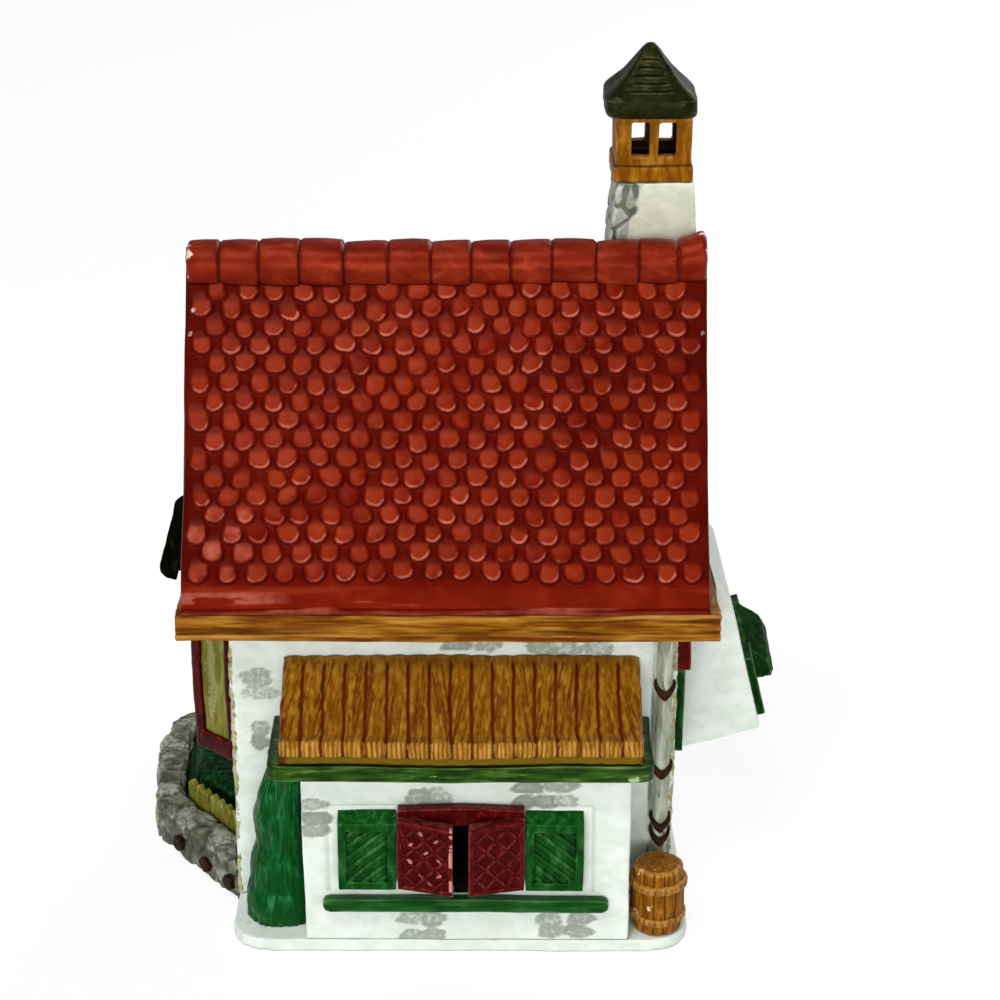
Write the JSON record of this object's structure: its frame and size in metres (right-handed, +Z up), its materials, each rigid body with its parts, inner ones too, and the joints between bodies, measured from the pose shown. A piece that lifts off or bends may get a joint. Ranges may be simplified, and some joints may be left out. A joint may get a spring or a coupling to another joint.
{
  "type": "ceramic village house",
  "caption": "Lighted ceramic christmas village house with a red fish-scale tile roof, vented chimney, thatched lean-to bay, green shutters, tree, barrel and stone terrace.",
  "frame": {"origin": "on the ground, on the axis of the lamp hole and midway between the four walls", "axes": "+Z up, +X along the ridge towards the chimney, -Y out of the lean-to bay that the picture shows"},
  "size_m": [0.1387, 0.1005, 0.1767],
  "materials": {
    "white_glaze": "glossy hand-painted glaze with grey stone dabs",
    "red_glaze": "glossy brick-red glaze, darker between the tiles",
    "golden_brown_glaze": "glossy brown glaze with brushed grain",
    "dark_brown_glaze": "glossy dark brown glaze",
    "olive_glaze": "glossy dark olive glaze",
    "green_glaze": "glossy green glaze",
    "maroon_glaze": "glossy maroon glaze",
    "grey_glaze": "brushed grey glaze over moulded stones",
    "yellow_glaze": "glossy yellow-green glaze"
  },
  "bodies": {
    "root": {"base_slab": "white_glaze", "front_wall": "white_glaze", "back_wall": "white_glaze", "left_gable_wall": "white_glaze", "right_gable_wall": "white_glaze", "eave_board_front": "golden_brown_glaze", "eave_board_back": "golden_brown_glaze", "eave_board_left": "golden_brown_glaze", "eave_board_right": "golden_brown_glaze", "roof_front_slope": "red_glaze", "roof_back_slope": "red_glaze", "ridge_tiles": "red_glaze", "chimney_stack": "white_glaze", "chimney_vent": "golden_brown_glaze", "chimney_cap": "olive_glaze", "bay_front_wall": "white_glaze", "bay_left_cheek": "white_glaze", "bay_right_cheek": "white_glaze", "bay_thatch": "golden_brown_glaze", "bay_gutter": "green_glaze", "door_frame": "maroon_glaze", "left_door_leaf": "maroon_glaze", "right_door_leaf": "maroon_glaze", "left_shutter": "green_glaze", "right_shutter": "green_glaze", "door_sill": "green_glaze", "evergreen_tree": "green_glaze", "rain_barrel": "golden_brown_glaze", "barrel_hoops": "golden_brown_glaze", "downpipe": "white_glaze", "pipe_straps": "dark_brown_glaze", "terrace_kerb": "grey_glaze", "kerb_logs": "dark_brown_glaze", "planting_bed": "green_glaze", "hedge": "green_glaze", "picket_fence": "yellow_glaze", "canted_bay_frame": "maroon_glaze", "canted_bay_panes": "yellow_glaze", "gable_hood": "olive_glaze", "right_oriel": "white_glaze", "oriel_hood": "green_glaze", "oriel_shutters": "green_glaze", "side_window_heads": "maroon_glaze", "side_shutters": "green_glaze", "back_window_frames": "maroon_glaze", "back_shutters": "green_glaze", "back_sills": "green_glaze"}
  },
  "joints": []
}
